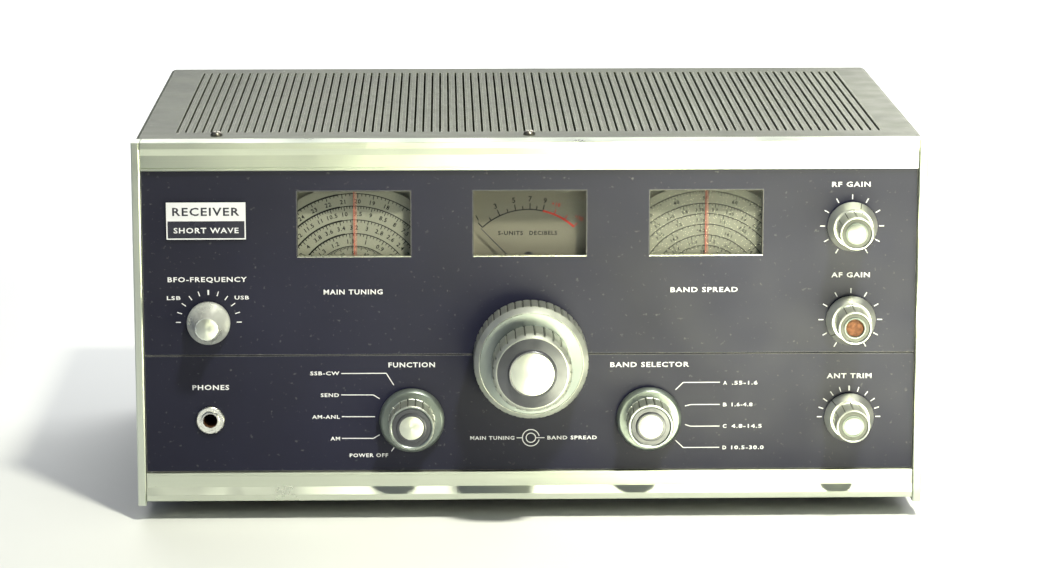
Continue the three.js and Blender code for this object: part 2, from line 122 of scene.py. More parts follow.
table_glow.visible_diffuse = False
table_glow.visible_camera = False


# Every finish starts from one recipe: patches of slightly different tone and gloss, a fine grain,
# and, where the real surface has them, drawn streaks, specks of dust and worn edges.
def finish(name, colour, rough, metal=0.0, tone=0.12, patch=28, grain=2600, tooth=0.15,
           streak=None, speck=None, worn=None, spread=0.08, **sockets):
    """A procedural material; streak is (axis, strength), speck and worn are colours."""
    made = bpy.data.materials.new(name)
    made.use_nodes = True
    tree = made.node_tree
    shader = tree.nodes["Principled BSDF"]
    place = tree.nodes.new("ShaderNodeTexCoord").outputs["Object"]

    def node(kind, links=(), **values):
        new = tree.nodes.new(kind)
        for key, value in values.items():
            if hasattr(new, key):
                setattr(new, key, value)
            else:
                new.inputs[key.replace("_", " ")].default_value = value
        for socket, source in links:
            tree.links.new(source, new.inputs[socket])
        return new

    def noise(scale, detail=4.0, where=place, **more):
        return node("ShaderNodeTexNoise", [("Vector", where)], Scale=scale, Detail=detail, **more)

    def ramp(source, low, high, to_low=0.0, to_high=1.0):
        new = node("ShaderNodeMapRange", [("Value", source)], From_Min=low, From_Max=high,
                   To_Min=to_low, To_Max=to_high)
        return new.outputs["Result"]

    def blend_colour(factor, a, b):
        new = tree.nodes.new("ShaderNodeMix")
        new.data_type = "RGBA"
        tree.links.new(factor, new.inputs[0])
        for socket, source in ((6, a), (7, b)):
            if isinstance(source, tuple):
                new.inputs[socket].default_value = (*source, 1)
            else:
                tree.links.new(source, new.inputs[socket])
        return new.outputs[2]

    patches = ramp(noise(patch, 6.0).outputs["Fac"], 0.3, 0.7)
    dark = tuple(c * (1 - tone) for c in colour)
    light = tuple(min(c * (1 + tone), 1) for c in colour)
    base = blend_colour(patches, dark, light)
    heights = [noise(grain, 2.0).outputs["Fac"]]
    gloss = noise(patch * 2.3, 5.0).outputs["Fac"]
    if streak:
        axis, strength = streak
        squeeze = tree.nodes.new("ShaderNodeMapping")
        tree.links.new(place, squeeze.inputs["Vector"])
        squeeze.inputs["Scale"].default_value = [4 if i == axis else 1600 for i in range(3)]
        lines = noise(1.0, 3.0, squeeze.outputs["Vector"]).outputs["Fac"]
        heights.append(lines)
        base = blend_colour(ramp(lines, 0.2, 0.9), base, tuple(c * (1 - strength) for c in colour))
    if speck:
        dots = ramp(noise(grain * 0.3, 2.0).outputs["Fac"], 0.73, 0.77)
        few = node("ShaderNodeMath", [(0, dots)], operation="MULTIPLY")
        tree.links.new(ramp(noise(45, 2.0).outputs["Fac"], 0.52, 0.68), few.inputs[1])
        base = blend_colour(few.outputs[0], base, speck)
    if worn:
        edge = node("ShaderNodeBevel", samples=4, Radius=0.00045)
        straight = tree.nodes.new("ShaderNodeNewGeometry").outputs["Normal"]
        same = node("ShaderNodeVectorMath", [(0, edge.outputs[0]), (1, straight)],
                    operation="DOT_PRODUCT")
        rubbed = node("ShaderNodeMath", [(0, noise(420, 3.0).outputs["Fac"])],
                      operation="MULTIPLY_ADD")
        rubbed.inputs[1].default_value = 0.16
        tree.links.new(same.outputs["Value"], rubbed.inputs[2])
        base = blend_colour(ramp(rubbed.outputs[0], 1.055, 0.98), base, worn)
    tree.links.new(base, shader.inputs["Base Color"])
    even = ramp(gloss, 0.3, 0.7, max(rough - spread, 0.02), min(rough + spread, 1))
    tree.links.new(even, shader.inputs["Roughness"])
    height = heights[0]
    for other in heights[1:]:
        height = node("ShaderNodeMath", [(0, height), (1, other)], operation="ADD").outputs[0]
    bump = node("ShaderNodeBump", [("Height", height)], Strength=tooth, Distance=0.00012)
    tree.links.new(bump.outputs["Normal"], shader.inputs["Normal"])
    shader.inputs["Metallic"].default_value = metal
    for key, value in sockets.items():
        shader.inputs[key.replace("_", " ")].default_value = value
    return made


paper_white = finish("floor_paper", (0.66, 0.67, 0.67), 0.8, tone=0.01, patch=3, grain=900,
                     tooth=0.04)
floor.data.materials.append(paper_white)


# ---- chassis -----------------------------------------------------------------------------------
# The folded steel chassis is passivated zinc, and everything inside the cabinet stands on its deck
# or hangs from its front wall.
def dress(names, material, bevel=None):
    """Gives CAD nodes their finish and, where their edges show, a small bevel in millimetres."""
    for name in names:
        node = nodes[name]
        node.data.materials.clear()
        node.data.materials.append(material)
        if bevel:
            rounding = node.modifiers.new("eased_edges", "BEVEL")
            rounding.width = bevel * MM
            rounding.segments = 2
            rounding.limit_method = "ANGLE"
            rounding.angle_limit = math.radians(40)


zinc = finish("passivated_zinc", (0.50, 0.49, 0.42), 0.38, metal=0.9, tone=0.16, patch=60,
              tooth=0.1, speck=(0.3, 0.28, 0.22))
bright_aluminium = finish("drawn_aluminium_can", (0.62, 0.63, 0.62), 0.3, metal=1, tone=0.08,
                          streak=(2, 0.15), tooth=0.1)
japanned_iron = finish("japanned_iron", (0.035, 0.034, 0.033), 0.42, metal=0.3, tone=0.3,
                       patch=90, tooth=0.35, worn=(0.3, 0.27, 0.24))
bakelite = finish("brown_bakelite", (0.085, 0.04, 0.02), 0.35, tone=0.3, patch=160, tooth=0.08)
wafer_board = finish("varnished_board", (0.38, 0.25, 0.11), 0.4, tone=0.2, patch=240, tooth=0.2,
                     streak=(0, 0.2))
dress(["chassis"], zinc, 0.3)
dress(["power_transformer", "output_transformer"], japanned_iron, 0.5)
dress(["smoothing_can", "if_can_1", "if_can_2", "if_can_3"], bright_aluminium, 0.4)
dress(["main_capacitor_rotor", "spread_capacitor_rotor", "bfo_capacitor",
       "antenna_trim_capacitor"], bright_aluminium, 0.15)
dress(["main_capacitor_frame", "spread_capacitor_frame", "rf_gain_potentiometer",
       "af_gain_potentiometer", "main_tuning_sleeve", "band_spread_shaft"], zinc, 0.15)
dress(["function_switch", "band_switch"], wafer_board, 0.15)


# ---- valves ------------------------------------------------------------------------------------
# Each valve is a thin glass bulb on a moulded base, with a black anode cage inside and a silvery
# getter patch under its drawn-off tip.


# Knobs, screws, feet, valves and the jack are turned or moulded round, so each is a profile spun
# about its axis. A station is (radius, distance along the axis, depth of the flutes, material).
def turned(stations, around=72, flutes=0, share=0.24, ring=False, floor=None):
    """A closed bmesh spun about Y, in mm; floor is the slot of the flutes' floors, their painted
    shade.
    """
    if flutes:
        steps = (-0.5, -0.32, 0.32, 0.5)
        marks = [(share * s, 1.0 if abs(s) < 0.4 else 0.0) for s in steps]
        marks += [(share / 2 + (1 - share) * t, 0.0) for t in (0.3, 0.7)]
        turns = [((i + m) / flutes, g) for i in range(flutes) for m, g in marks]
    else:
        turns = [(i / around, 0.0) for i in range(around)]
    made = bmesh.new()
    rings = []
    for radius, along, *more in stations:
        depth = more[0] if more else 0.0
        if radius == 0:
            rings.append([made.verts.new((0, along * MM, 0))])
            continue
        row = []
        for turn, groove in turns:
            r = (radius - depth * groove) * MM
            angle = 2 * math.pi * turn
            row.append(made.verts.new((r * math.cos(angle), along * MM, r * math.sin(angle))))
        rings.append(row)
    pairs = list(zip(rings, rings[1:] + ([rings[0]] if ring else []), stations))
    for a, b, station in pairs:
        slot = station[3] if len(station) > 3 else 0
        count = max(len(a), len(b))
        for i in range(count):
            j = (i + 1) % count
            corners = [a[i % len(a)], a[j % len(a)], b[j % len(b)], b[i % len(b)]]
            corners = list(dict.fromkeys(corners))
            if len(corners) > 2:
                # The floor of each deeper flute takes the floor slot, which paints shade into the
                # groove.
                sunk = floor is not None and i % 6 == 1 and station[2:] and station[2] > 0.3
                made.faces.new(corners).material_index = floor if sunk else slot
    bmesh.ops.recalc_face_normals(made, faces=made.faces)
    return made


def placed(name, made, body, materials, origin=(0, 0, 0), replaces=(), crease=35, turn=None):
    """Turns a bmesh into a piece that rides on a CAD body and stands for the nodes it replaces."""
    mesh = bpy.data.meshes.new(name)
    made.to_mesh(mesh)
    made.free()
    for material in materials:
        mesh.materials.append(material)
    mesh.shade_smooth()
    mesh.set_sharp_from_angle(angle=math.radians(crease))
    new = bpy.data.objects.new(name, mesh)
    new.matrix_world = Matrix.Translation(at(*origin)) @ (turn or Matrix.Identity(4))
    scene.collection.objects.link(new)
    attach(new, body)
    if replaces:
        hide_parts(*replaces)
    return new


UPRIGHT = Matrix.Rotation(math.radians(90), 4, "X")  # turns a piece's own Y axis to point up


def box_of(node):
    """A CAD node's low and high corners, in the millimetres that at() takes."""
    return [(corner - at(0, 0, 0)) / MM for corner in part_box(node)]


def underside(node):
    """The middle of a CAD node's underside, its half width and its height."""
    low, high = box_of(node)
    return ((low.x + high.x) / 2, (low.y + high.y) / 2, low.z), (high.x - low.x) / 2, high.z - low.z


valve_glass = finish("valve_glass", (0.75, 0.8, 0.8), 0.04, tone=0.02, patch=40, tooth=0.01,
                     spread=0.02, Alpha=0.16, IOR=1.47)
getter = finish("getter_silver", (0.5, 0.5, 0.5), 0.12, metal=1, tone=0.3, patch=200, tooth=0.02)
anode = finish("carbonised_anode", (0.03, 0.03, 0.032), 0.6, metal=0.4, tone=0.3, patch=200)
for number in range(1, 7):
    foot, wide, tall = underside(f"valve_{number}")
    shell = [(0, 0, 0, 1), (wide, 0, 0, 1), (wide, 6.4, 0, 1), (wide - 0.6, 7, 0, 1),
             (wide - 1.8, 7.1), (wide - 1.8, tall - 12), (wide - 2.4, tall - 8),
             (wide - 4.5, tall - 5.5, 0, 2), (2, tall - 4.6, 0, 2), (1.1, tall - 3.4, 0, 2),
             (0.9, tall - 0.8, 0, 2), (0, tall - 0.1)]
    placed(f"valve_{number}_bulb", turned(shell, 40), "cabinet",
           [valve_glass, bakelite, getter], foot, (f"valve_{number}",), turn=UPRIGHT)
    cage = [(0, 10), (wide - 3.2, 10), (wide - 3.2, 10.8), (wide - 5, 11), (wide - 5, tall - 17),
            (wide - 3.2, tall - 16.8), (wide - 3.2, tall - 16), (0, tall - 16)]
    placed(f"valve_{number}_cage", turned(cage, 24), "cabinet", [anode], foot,
           turn=UPRIGHT)


# ---- dials -------------------------------------------------------------------------------------
# Two cream enamelled discs turn behind the outer windows, each on its variable capacitor's shaft.
# The main one carries four frequency scales and a logging scale, the other the band-spread scales.
# A thin cream plate behind each disc fills the corners of its window.
INK = 0.04  # thickness of the screen-printed ink of every legend and scale
BOLD = 0.021  # how far each letter's outline is spread, on letters one unit high
CAPITAL = 0.692  # height of a plain capital before that


class Ink:
    """Collects bars, arcs and words, all printed on one upright plane at depth y."""

    def __init__(self, y, thick=INK):
        self.made = bmesh.new()
        self.y = y
        self.thick = thick

    def prism(self, outline):
        """A closed flat shape of [x, z] points in millimetres, given anticlockwise."""
        back = [self.made.verts.new((x * MM, self.y * MM, z * MM)) for x, z in outline]
        front = [self.made.verts.new((x * MM, (self.y - self.thick) * MM, z * MM))
                 for x, z in outline]
        self.made.faces.new(front)
        self.made.faces.new(back[::-1])
        for i, vert in enumerate(back):
            j = (i + 1) % len(back)
            self.made.faces.new((front[i], vert, back[j], front[j]))

    def sheet(self, left, right, foot, top):
        self.prism([(left, foot), (right, foot), (right, top), (left, top)])

    def bar(self, a, b, wide):
        along = Vector((b[0] - a[0], b[1] - a[1])).normalized() * wide / 2
        side = Vector((-along.y, along.x))
        corners = [Vector(a) - side, Vector(b) - side, Vector(b) + side, Vector(a) + side]
        self.prism([tuple(c) for c in corners])

    def path(self, points, wide):
        for a, b in zip(points, points[1:]):
            self.bar(a, b, wide)

    def arc(self, centre, radius, start, stop, wide, step=3.0):
        """Degrees are clockwise from straight up."""
        count = max(2, int(abs(stop - start) / step))
        angles = [math.radians(start + (stop - start) * i / count) for i in range(count + 1)]
        inner = [self.polar(centre, radius - wide / 2, a) for a in angles]
        outer = [self.polar(centre, radius + wide / 2, a) for a in angles]
        for i in range(count):
            self.prism([inner[i], inner[i + 1], outer[i + 1], outer[i]])

    @staticmethod
    def polar(centre, radius, angle):
        return (centre[0] + radius * math.sin(angle), centre[1] + radius * math.cos(angle))

    def tick(self, centre, inner, outer, degrees, wide):
        angle = math.radians(degrees)
        self.bar(self.polar(centre, inner, angle), self.polar(centre, outer, angle), wide)

    def word(self, text, x, z, tall, wide=None, where="centre", degrees=0.0, stretch=1.35):
        """Capitals tall millimetres high, fitted to wide or stretched; x, z is their middle."""
        verts, faces, length = lettered(text)
        across = wide / length if wide else tall * stretch
        shift = {"centre": -length / 2, "left": 0.0, "right": -length}[where]
        cosine, sine = math.cos(math.radians(degrees)), math.sin(math.radians(degrees))
        points = []
        for a, b, c in verts:
            u, v = (a + shift) * across, (b - 0.5) * tall
            px, pz = x + u * cosine + v * sine, z - u * sine + v * cosine
            points.append(self.made.verts.new(
                (px * MM, (self.y - (c + 0.5) * self.thick) * MM, pz * MM)))
        for face in faces:
            self.made.faces.new([points[i] for i in face])

    def done(self):
        bmesh.ops.recalc_face_normals(self.made, faces=self.made.faces)
        return self.made


words_made = {}


def lettered(text):
    """A word as (vertices, faces, length), one unit high and one deep."""
    if text not in words_made:
        curve = bpy.data.curves.new("word", "FONT")
        curve.body = text
        curve.extrude = 0.5
        curve.offset = BOLD
        curve.resolution_u = 2
        curve.space_character = 1.16
        holder = bpy.data.objects.new("word", curve)
        mesh = bpy.data.meshes.new_from_object(holder)
        cap = CAPITAL + 2 * BOLD
        low = min(v.co.x for v in mesh.vertices)
        points = [((v.co.x - low) / cap, (v.co.y + BOLD) / cap, v.co.z) for v in mesh.vertices]
        faces = [tuple(p.vertices) for p in mesh.polygons]
        words_made[text] = (points, faces, max(p[0] for p in points))
        bpy.data.objects.remove(holder)
        bpy.data.curves.remove(curve)
        bpy.data.meshes.remove(mesh)
    return words_made[text]


def face_on(node):
    """x and z of a CAD node's middle, as seen from the front."""
    low, high = box_of(node)
    return (low.x + high.x) / 2, (low.z + high.z) / 2


DIAL_X, DIAL_Z = face_on("spread_dial_disc")
DISC_FACE = box_of("spread_dial_disc")[0].y
SWEEP = 92.0  # degrees that the scales reach to each side of upright
# The cream is darkened partly as painted shade, for the dials' recess behind the panel.
cream = finish("cream_enamel_and_recess_shade", (0.31, 0.315, 0.245), 0.6, tone=0.07, patch=22, tooth=0.05,
               speck=(0.3, 0.27, 0.18), Specular_IOR_Level=0.1)
scale_ink = finish("black_scale_ink", (0.012, 0.013, 0.013), 0.6, tone=0.3, patch=200, tooth=0.05,
                   Specular_IOR_Level=0.1)
red_ink = finish("red_scale_ink", (0.55, 0.03, 0.02), 0.6, tone=0.15, patch=150, tooth=0.05,
                 Specular_IOR_Level=0.1)
dress(["main_dial_disc", "spread_dial_disc"], cream, 0.1)


def spin(share):
    """Degrees on the dial for a share of the capacitor's travel."""
    return -SWEEP + 2 * SWEEP * share


for key, x in (("main", -DIAL_X), ("spread", DIAL_X)):
    backing = Ink(DISC_FACE + 2.1, 0.5)
    backing.sheet(x - 31, x + 31, 115, 157.5)
    placed(f"{key}_dial_backing", backing.done(), "cabinet", [cream])

main_print = Ink(DISC_FACE)
centre = (0.0, 0.0)
# radius, highest and lowest value, label step, tick step, written decimals
bands = [(47.4, 30.0, 10.5, 1.0, 0.25, 0), (41.3, 14.5, 4.8, 0.5, 0.1, 1),
         (34.6, 4.8, 1.6, 0.2, 0.05, 1), (27.9, 1.6, 0.55, 0.1, 0.02, 1)]
for radius, highest, lowest, label, tick, digits in bands:
    main_print.arc(centre, radius, -SWEEP, SWEEP, 0.42)
    main_print.arc(centre, radius, -SWEEP * 0.62, -SWEEP * 0.1, 0.8)
    for i in range(int(lowest / tick) + 1, int(highest / tick + 0.01) + 1):
        value = i * tick
        long = abs(value / label - round(value / label)) < 0.01
        turn = spin((highest - value) / (highest - lowest))
        main_print.tick(centre, radius - (2.1 if long else 1.2), radius, turn, 0.36)
        if long and (digits or round(value) % 2 == 0 or value > 18):
            middle = Ink.polar(centre, radius - 3.75, math.radians(turn))
            text = f"{value:.{digits}f}".removesuffix(".0")
            main_print.word(text, *middle, 2.1, degrees=turn, stretch=1.0)
log_radius = 21.8
LOG_TICKS = 100
for i in range(LOG_TICKS + 1):
    turn = spin(i / LOG_TICKS)
    main_print.tick(centre, log_radius - (1.9 if i % 5 == 0 else 1.1), log_radius, turn, 0.32)
    if i % 10 == 0:
        middle = Ink.polar(centre, log_radius - 3.3, math.radians(turn))
        main_print.word(str(i), *middle, 1.5, degrees=turn, stretch=1.05)
main_print.arc(centre, log_radius, -SWEEP, SWEEP, 0.34)
placed("main_dial_print", main_print.done(), "main_dial", [scale_ink],
       (-DIAL_X, 0, DIAL_Z))

spread_print = Ink(DISC_FACE)
log_radius = 48.0
spread_print.arc(centre, log_radius, -SWEEP, SWEEP, 0.38)
for i in range(LOG_TICKS + 1):
    turn = spin(i / LOG_TICKS)
    spread_print.tick(centre, log_radius - (2.1 if i % 5 == 0 else 1.2), log_radius, turn, 0.34)
    if i % 10 == 0:
        middle = Ink.polar(centre, log_radius - 3.4, math.radians(turn))
        spread_print.word(str(i), *middle, 1.9, degrees=turn, stretch=1.0)
# radius, first and last value, label step, tick step, amateur band in metres
ham_bands = [(42.0, 3.5, 4.0, 0.05, 0.01, "80M"), (37.0, 7.0, 7.3, 0.05, 0.01, "40M"),
             (31.8, 14.0, 14.4, 0.1, 0.02, "20M"), (26.6, 21.0, 21.5, 0.1, 0.02, "15M"),
             (21.4, 28.0, 30.0, 0.5, 0.1, "10M")]
BAND_REACH = 66.0
BAND_START = BAND_REACH - 16  # degrees at which each band's first value stands
for radius, first, last, label, tick, band in ham_bands:
    spread_print.arc(centre, radius, -BAND_REACH, BAND_REACH, 0.36)
    for i in range(round((last - first) / tick) + 1):
        steps = i * tick / label
        long = abs(steps - round(steps)) < 0.01
        turn = BAND_START - 1.64 * BAND_REACH * i * tick / (last - first)
        spread_print.tick(centre, radius - (1.9 if long else 1.0), radius, turn, 0.34)
        if long:
            middle = Ink.polar(centre, radius - 3.1, math.radians(turn))
            text = f"{first + i * tick:.2f}".rstrip("0").rstrip(".")
            spread_print.word(text, *middle, 1.6, degrees=turn, stretch=1.0)
    middle = Ink.polar(centre, radius - 2.6, math.radians(BAND_REACH - 6))
    spread_print.word(band, *middle, 1.5, degrees=BAND_REACH - 6, stretch=1.05)
placed("spread_dial_print", spread_print.done(), "spread_dial", [scale_ink],
       (DIAL_X, 0, DIAL_Z))


# ---- signal meter ------------------------------------------------------------------------------
# A moulded case with an olive-cream printed card, a slim black needle that rests on its left stop,
# and the round zero screw that just shows at the foot of the window.
METER_X, PIVOT_Z = -0.7, 110.4
CARD_FACE = 13.04
meter_plastic = finish("meter_moulding", (0.5, 0.5, 0.42), 0.35, tone=0.05, tooth=0.05)
# The card is darkened partly as painted shade, for its recess behind the panel.
meter_card_and_recess_shade = finish("meter_card_and_recess_shade", (0.20, 0.19, 0.145), 0.6, tone=0.05, patch=30, tooth=0.04,
                    speck=(0.2, 0.18, 0.12), Specular_IOR_Level=0.1)
dress(["meter_case"], meter_plastic, 0.2)
card = Ink(CARD_FACE + 0.14, 0.14)
card.sheet(-27.6, 27.6, 104.9, 156.7)
placed("meter_card_and_recess_shade", card.done(), "cabinet", [meter_card_and_recess_shade])

pivot = (METER_X, PIVOT_Z)
SCALE_R = 32.4
SCALE_END = 43  # degrees from upright at which the scale starts and ends
TURNS_RED = 12.5  # degrees at which black gives way to red
black_print = Ink(CARD_FACE - 0.01)
red_print = Ink(CARD_FACE - 0.01)
black_print.arc(pivot, SCALE_R, -SCALE_END, TURNS_RED, 0.6)
red_print.arc(pivot, SCALE_R, TURNS_RED, SCALE_END, 0.95)
for i, turn in enumerate((-SCALE_END, -33.5, -25, -17.5, -10.8, -4.6, 1.4, 7.0, TURNS_RED)):
    long = i % 2 == 0
    black_print.tick(pivot, SCALE_R, SCALE_R + (3.0 if long else 1.8), turn, 0.55)
    if long:
        middle = Ink.polar(pivot, SCALE_R + 5.2, math.radians(turn + (2.0 if i == 0 else 0)))
        black_print.word(str(i + 1), *middle, 2.6, degrees=turn * 0.6, stretch=1.0)
for turn in (22.5, 32.5, 42.5):
    red_print.tick(pivot, SCALE_R, SCALE_R + 2.6, turn, 0.42)
for turn, text in ((22.5, "+10"), (42.5, "+30")):
    middle = Ink.polar(pivot, SCALE_R + 4.9, math.radians(turn - 1.5))
    red_print.word(text, *middle, 1.9, degrees=turn * 0.6, stretch=0.95)
black_print.word("S-UNITS", METER_X - 8.6, 131.3, 2.0, 12.0)
black_print.word("DECIBELS", METER_X + 7.2, 131.3, 2.0, 13.4)
placed("meter_scale", black_print.done(), "cabinet", [scale_ink])
placed("meter_red_scale", red_print.done(), "cabinet", [red_ink])

needle_black = finish("needle_black", (0.012, 0.012, 0.014), 0.35, tone=0.3, patch=300)
REST = math.radians(44)
needle = turned([(0, -0.9), (2.3, -0.9), (2.6, -0.6), (2.6, 0.6), (2.3, 0.9), (0, 0.9)], 28)
for low, high, wide_low, wide_high in ((2.0, 33.0, 0.9, 0.34), (-6.0, -2.0, 1.6, 1.2)):
    corners = []
    for along, wide in ((low, wide_low), (high, wide_high)):
        for side in (-1, 1):
            for depth in (-0.22, 0.22):
                x = side * wide / 2
                corners.append(needle.verts.new((
                    (x * math.cos(REST) - along * math.sin(REST)) * MM, depth * MM,
                    (x * math.sin(REST) + along * math.cos(REST)) * MM)))
    bmesh.ops.convex_hull(needle, input=corners)
placed("meter_needle_pointer", needle, "needle", [needle_black],
       (METER_X, 10.5, PIVOT_Z), ("meter_needle",))
zero = turned([(0, 8.9), (2.1, 8.9), (2.5, 9.1), (2.5, 9.5), (0, 9.5)], 32)
placed("meter_zero_screw", zero, "cabinet", [needle_black],
       (METER_X, 0, 120.4))


# ---- window strip ------------------------------------------------------------------------------
# One clear acrylic strip sits behind the three openings, and a fine red line on its back crosses
# each dial as the cursor. The sill of every opening is bare bright metal; its top and sides are
# dark, as painted shade.
acrylic = finish("clear_acrylic", (0.12, 0.13, 0.125), 0.05, tone=0.02, patch=20, tooth=0.01,
                 spread=0.03, Alpha=0.06, IOR=1.49, Specular_IOR_Level=0.12)
dress(["dial_glass"], acrylic)
cursor_red = finish("cursor_red", (0.42, 0.03, 0.025), 0.6, tone=0.1, tooth=0.02,
                    Specular_IOR_Level=0.1)
cursor_tint = finish("cursor_tint", (0.8, 0.3, 0.2), 0.6, tone=0.1, tooth=0.02,
                     Specular_IOR_Level=0.1, Alpha=0.22)
glass_back = box_of("dial_glass")[1].y
for key, x in (("main", -DIAL_X), ("spread", DIAL_X)):
    for part, from_x, to_x, look, gap in (("line", -0.19, 0.19, cursor_red, 0.18),
                                          ("tint", -0.3, 1.3, cursor_tint, 0.08)):
        line = Ink(glass_back + gap, 0.06)
        line.sheet(x + from_x, x + to_x, 119, 156.5)
        placed(f"{key}_cursor_{part}", line.done(), "cabinet", [look])

PANEL_FACE = box_of("upper_front_panel")[0].y
OPENING = (54.6, 32.2, 137.8)  # width, height and middle height of every opening
bright_edge = finish("cut_panel_edge", (0.72, 0.74, 0.66), 0.3, metal=1, tone=0.12, patch=300,
                     streak=(0, 0.2))
# Dark painted shade: the top and side edges of each opening, and the sheet behind the panel joint.
painted_shade_edge = finish("painted_shade_panel_edge", (0.05, 0.05, 0.05), 0.5, metal=0.3, tone=0.3,
                      patch=300, streak=(1, 0.3))
EDGE_FRONT, EDGE_BACK, EDGE_THICK = PANEL_FACE - 0.03, 6.6, 0.32
for key, x in (("left", -84.4), ("middle", -0.2), ("right", 84.4)):
    wide, high, z = OPENING
    lining = bmesh.new()
    loops = []
    for inset, y in ((0, EDGE_BACK), (0, EDGE_FRONT), (EDGE_THICK, EDGE_FRONT),
                     (EDGE_THICK, EDGE_BACK)):
        loops.append([lining.verts.new(((sx * (wide / 2 - inset) + x) * MM, y * MM,
                                        (sz * (high / 2 - inset) + z) * MM))
                      for sx, sz in ((-1, -1), (1, -1), (1, 1), (-1, 1))])
    for a, b in zip(loops, loops[1:] + loops[:1]):
        for i in range(4):
            j = (i + 1) % 4
            # Only the bottom faces, the sill, are bare metal; the top and sides take the dark
            # painted shade.
            lining.faces.new((a[i], a[j], b[j], b[i])).material_index = 0 if i == 0 else 1
    bmesh.ops.recalc_face_normals(lining, faces=lining.faces)
    placed(f"{key}_window_edge", lining, "cabinet", [bright_edge, painted_shade_edge],
           crease=20)


# ---- front panels ------------------------------------------------------------------------------
# Two aluminium panels in satin blue-black paint, screen-printed in white, meet at a narrow joint
# level with the axis of the tuning knob. A dark sheet behind the joint is painted shade in the gap.
panel_paint = finish("blue_black_panel", (0.010, 0.0105, 0.027), 0.48, tone=0.16, patch=16,
                     grain=3400, tooth=0.18, speck=(0.03, 0.03, 0.036), worn=(0.25, 0.25, 0.24),
                     spread=0.05, Specular_IOR_Level=0.24)
dress(["upper_front_panel", "lower_front_panel"], panel_paint, 0.22)
# The dark sheet behind the joint is a painted shadow filling the gap.
joint_shade_sheet = Ink(box_of("upper_front_panel")[1].y + 0.35, 0.25)
joint_shade_sheet.sheet(-182, 182, 72.4, 75)
placed("panel_joint_shade_sheet", joint_shade_sheet.done(), "cabinet", [painted_shade_edge])
white_ink = finish("white_legend_ink", (0.78, 0.78, 0.80), 0.5, tone=0.08, patch=300, tooth=0.05)
BIG, SMALL = 2.45, 1.85  # heights of the two sizes of lettering
LINE = 0.42

upper = Ink(PANEL_FACE)
for text, x, z, wide in (
        ("BFO-FREQUENCY", -154.9, 111.1, 37.9), ("MAIN TUNING", -85.1, 104.7, 28.3),
        ("BAND SPREAD", 83.7, 105.1, 32.4), ("RF GAIN", 153.8, 156.2, 18.5),
        ("AF GAIN", 154.2, 112.0, 18.6)):
    upper.word(text, x, z, BIG, wide)
upper.word("LSB", -171.1, 102.1, SMALL, 6.6)
upper.word("USB", -138.5, 102.2, SMALL, 6.9)
MARKS = 11  # index marks over the BFO and trimmer knobs, and round each gain knob
for i in range(MARKS):
    upper.tick(face_on("bfo_knob"), 13.4, 15.8, -90 + 18 * i, 0.8 if i == MARKS // 2 else 0.46)
    for node in ("rf_gain_knob", "af_gain_knob"):
        upper.tick(face_on(node), 13.0, 15.4, -150 + 30 * i, 0.5)
placed("upper_panel_legends", upper.done(), "cabinet", [white_ink])

lower = Ink(PANEL_FACE)
for text, x, z, wide in (("PHONES", -154.1, 58.0, 17.7), ("FUNCTION", -57.2, 68.7, 22.4),
                         ("BAND SELECTOR", 57.7, 68.3, 38.1), ("ANT TRIM", 154.4, 62.2, 21.7)):
    lower.word(text, x, z, BIG, wide)
for text, x, z, wide in (("SSB-CW", -99.1, 64.7, 14.0), ("SEND", -96.8, 53.9, 8.8),
                         ("AM-ANL", -98.8, 43.1, 13.4), ("AM", -94.4, 32.3, 4.6),
                         ("POWER OFF", -78.2, 23.9, 18.6), ("MAIN TUNING", -18.4, 32.2, 21.4),
                         ("BAND SPREAD", 20.3, 32.2, 24.0)):
    lower.word(text, x, z, SMALL, wide)
for letter, text, z, wide in (("A", ".55-1.6", 59.0, 12.4), ("B", "1.6-4.8", 48.2, 10.1),
                              ("C", "4.8-14.5", 37.5, 14.7), ("D", "10.5-30.0", 26.8, 15.8)):
    lower.word(letter, 93.4, z, SMALL, 1.8, "left")
    lower.word(text, 97.6, z, SMALL, wide, "left")
for points in (
        [(-91.2, 64.6), (-69.5, 64.6), (-65.9, 58.7)], [(-91.3, 54), (-75.8, 53.9), (-72.8, 52)],
        [(-91.1, 43.2), (-75.1, 43.1)], [(-91.2, 32.4), (-76, 32.3), (-72.9, 34.1)],
        [(-65.9, 27.8), (-67.3, 25.8)], [(91.8, 59.3), (74, 59.3), (70.3, 55.7)],
        [(91.8, 48.3), (77.8, 48.3), (75, 47.6)], [(91.8, 37.5), (77.6, 37.5), (75.1, 38.4)],
        [(91.8, 26.9), (74.3, 26.9), (70.4, 30.6)]):
    lower.path(points, LINE)
for i in range(MARKS):
    lower.tick(face_on("antenna_trim_knob"), 13.0, 15.4, -90 + 18 * i,
               0.8 if i == MARKS // 2 else 0.5)
# the two rings of the tuning symbol, each joined by a line to its own words
symbol = (0.3, 32.2)
lower.arc(symbol, 4.1, 103, 437, 0.45, 8)
lower.arc(symbol, 2.3, 0, 360, 0.45, 12)
lower.bar((-6.6, 32.2), (-3.6, 32.2), LINE)
lower.bar((2.7, 32.2), (6.9, 32.2), LINE)
placed("lower_panel_legends", lower.done(), "cabinet", [white_ink])


